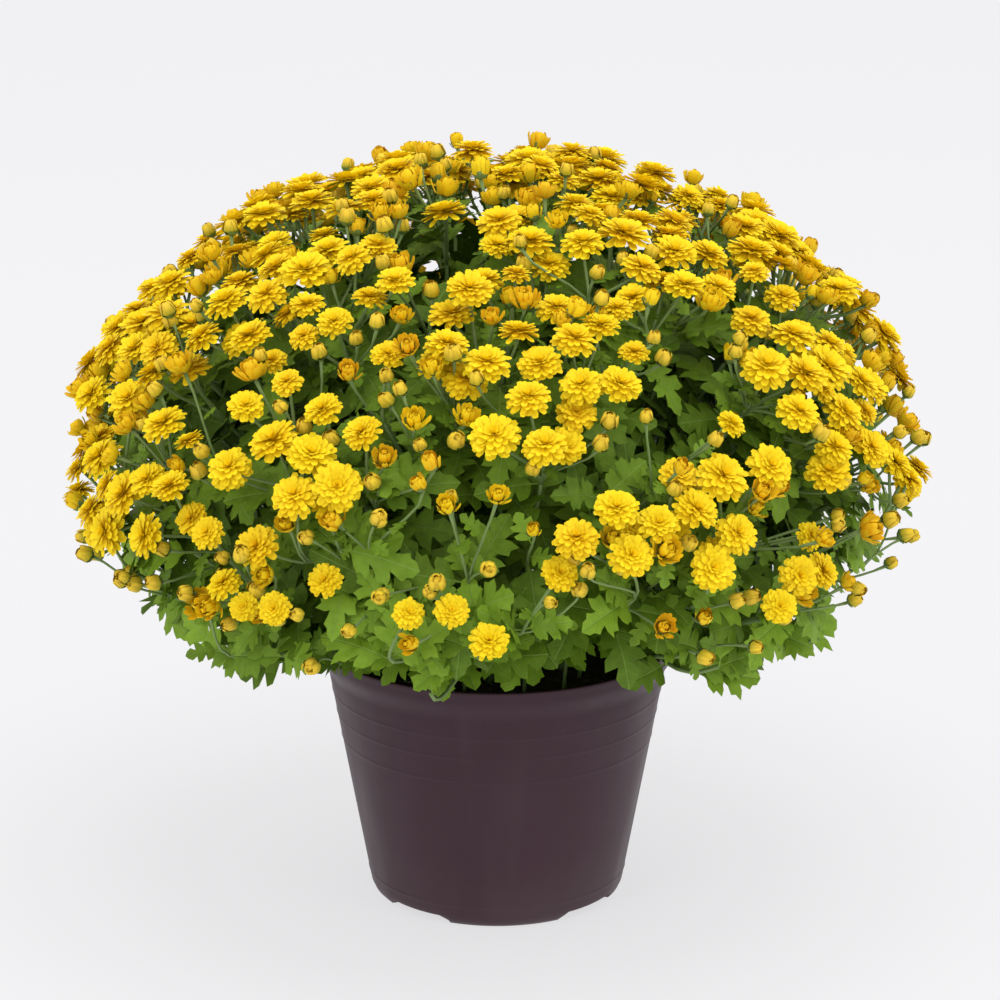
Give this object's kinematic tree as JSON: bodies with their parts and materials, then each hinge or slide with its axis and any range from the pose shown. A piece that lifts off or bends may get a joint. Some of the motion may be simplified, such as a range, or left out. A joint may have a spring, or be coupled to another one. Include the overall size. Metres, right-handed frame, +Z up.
{
  "type": "pot chrysanthemum",
  "caption": "Domed bush of yellow garden chrysanthemums, in bloom, in a dark round plastic nursery pot filled with peat.",
  "frame": {"origin": "under the middle of the pot's base, on the surface that it stands on", "axes": "+Z up along the pot's axis, -Y towards the side that the picture shows"},
  "size_m": [0.5409, 0.548, 0.4833],
  "materials": {
    "pot_plastic": "satin dark purple-brown moulded plastic",
    "peat": "rough dark peat and bark crumbs",
    "foliage": "soft matt green leaf",
    "petals": "matt golden yellow petal"
  },
  "bodies": {
    "root": {"pot": "pot_plastic", "soil": "peat", "leafy_stem_01": "foliage", "leafy_stem_02": "foliage", "leafy_stem_03": "foliage", "leafy_stem_04": "foliage", "leafy_stem_05": "foliage", "leafy_stem_06": "foliage", "leafy_stem_07": "foliage", "leafy_stem_08": "foliage", "leafy_stem_09": "foliage", "leafy_stem_10": "foliage", "leafy_stem_11": "foliage", "leafy_stem_12": "foliage", "leafy_stem_13": "foliage", "leafy_stem_14": "foliage", "leafy_stem_15": "foliage", "leafy_stem_16": "foliage", "leafy_stem_17": "foliage", "leafy_stem_18": "foliage", "leafy_stem_19": "foliage", "leafy_stem_20": "foliage", "leafy_stem_21": "foliage", "leafy_stem_22": "foliage", "leafy_stem_23": "foliage", "leafy_stem_24": "foliage", "leafy_stem_25": "foliage", "leafy_stem_26": "foliage", "blooms_01": "petals", "blooms_02": "petals", "blooms_03": "petals", "blooms_04": "petals", "blooms_05": "petals", "blooms_06": "petals", "blooms_07": "petals", "blooms_08": "petals", "blooms_09": "petals", "blooms_10": "petals", "blooms_11": "petals", "blooms_12": "petals", "blooms_13": "petals", "blooms_14": "petals", "blooms_15": "petals", "blooms_16": "petals", "blooms_17": "petals", "blooms_18": "petals", "blooms_19": "petals", "blooms_20": "petals", "blooms_21": "petals", "blooms_22": "petals", "blooms_23": "petals", "blooms_24": "petals", "blooms_25": "petals", "blooms_26": "petals"}
  },
  "joints": []
}
